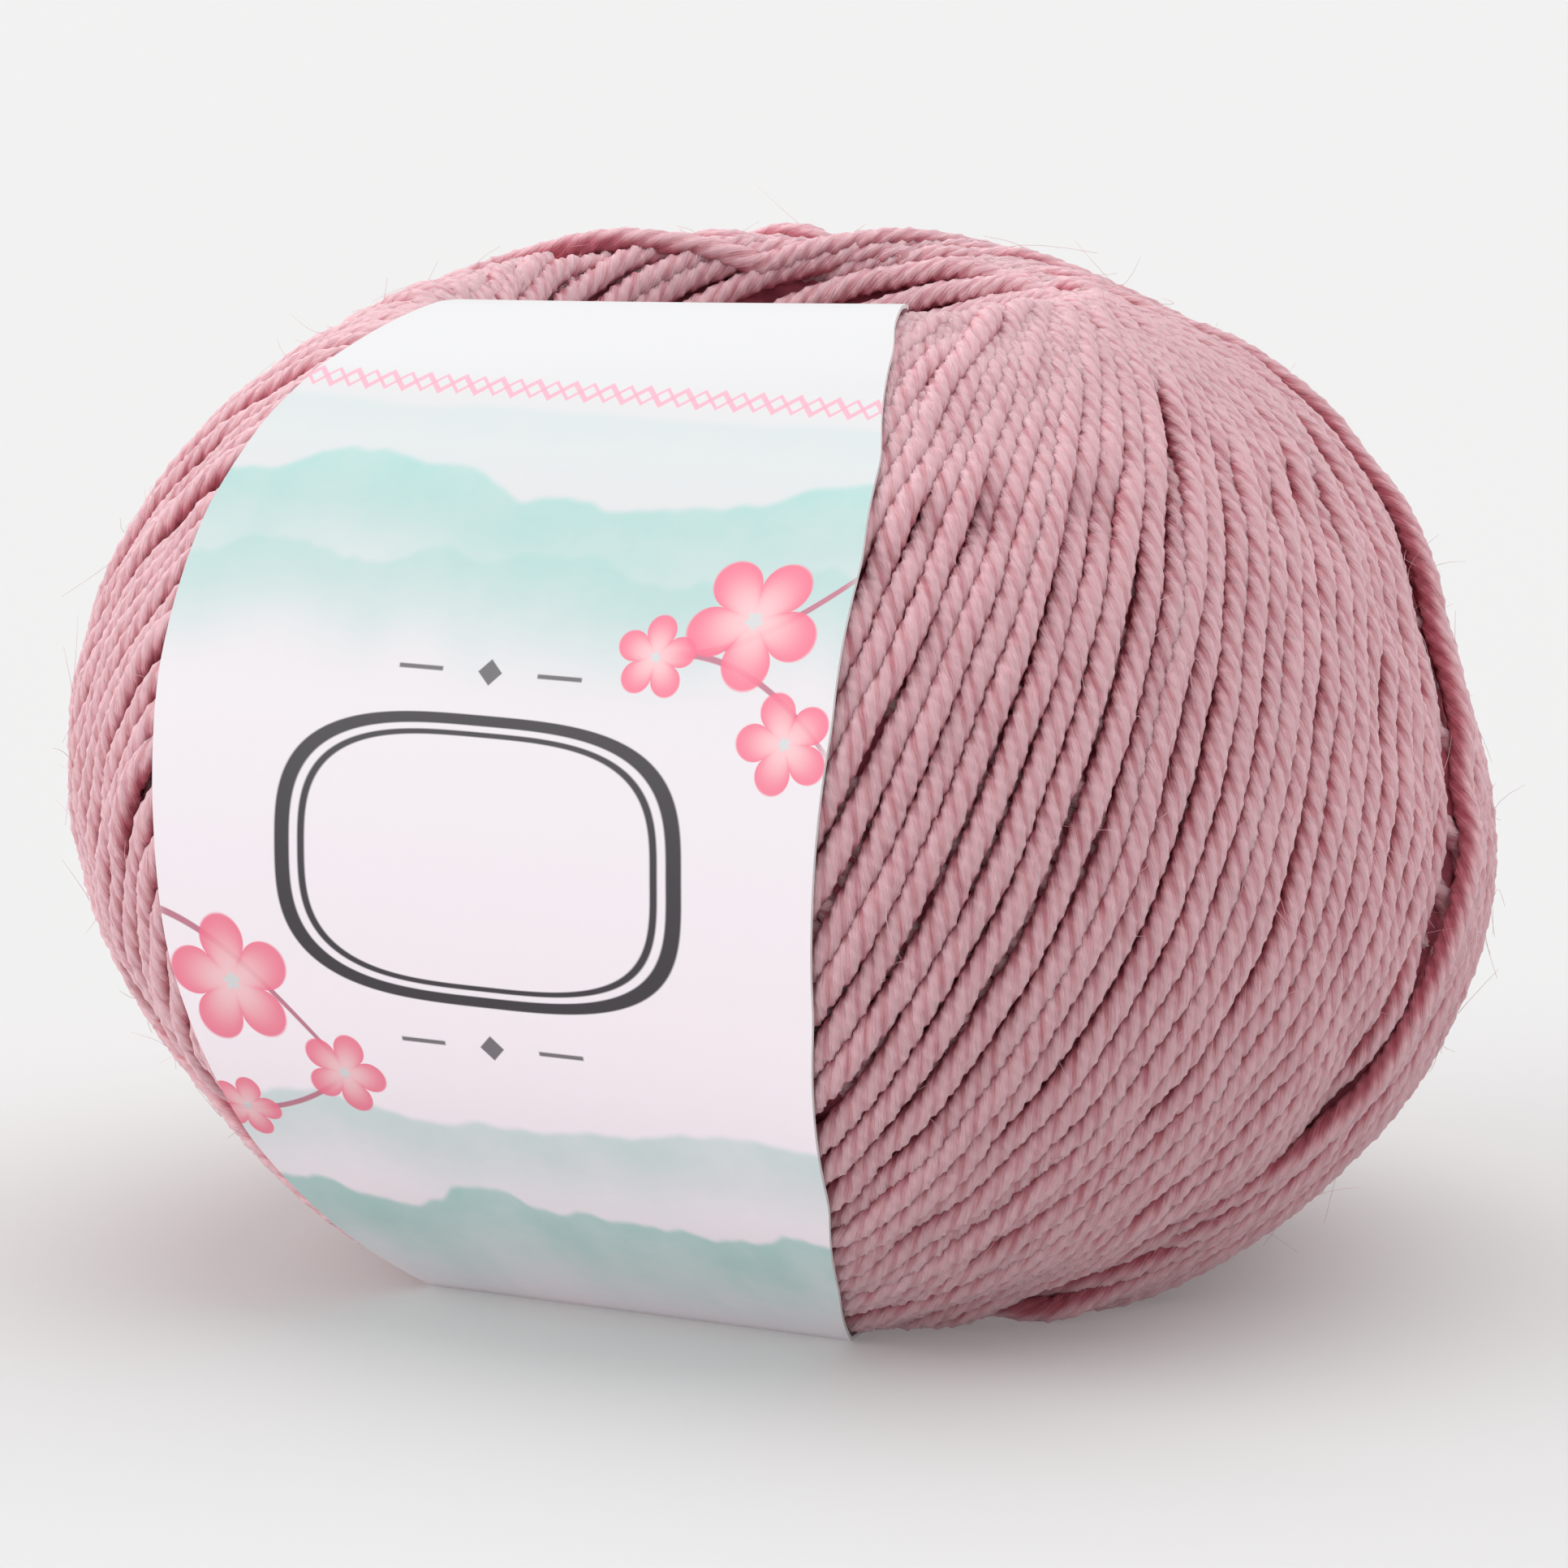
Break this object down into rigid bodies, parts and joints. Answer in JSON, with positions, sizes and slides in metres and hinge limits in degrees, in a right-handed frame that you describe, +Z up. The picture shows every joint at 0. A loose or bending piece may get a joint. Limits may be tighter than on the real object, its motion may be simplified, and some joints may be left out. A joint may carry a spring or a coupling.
{
  "type": "ball of yarn with a paper band",
  "caption": "Machine-wound centre-pull ball of wool yarn, standing on its flat foot, with a paper band threaded through its core.",
  "frame": {"origin": "middle of the footprint, on the surface that the ball stands on", "axes": "+Z up along the winding axis and the core hole; the middle of the paper band faces -Y"},
  "size_m": [0.0918, 0.0856, 0.0636],
  "materials": {
    "wool_yarn": "matt plied wool, slightly fuzzy",
    "printed_paper": "smooth satin paper, printed on its outer face"
  },
  "bodies": {
    "root": {"yarn_ball": "wool_yarn", "paper_band": "printed_paper"}
  },
  "joints": []
}
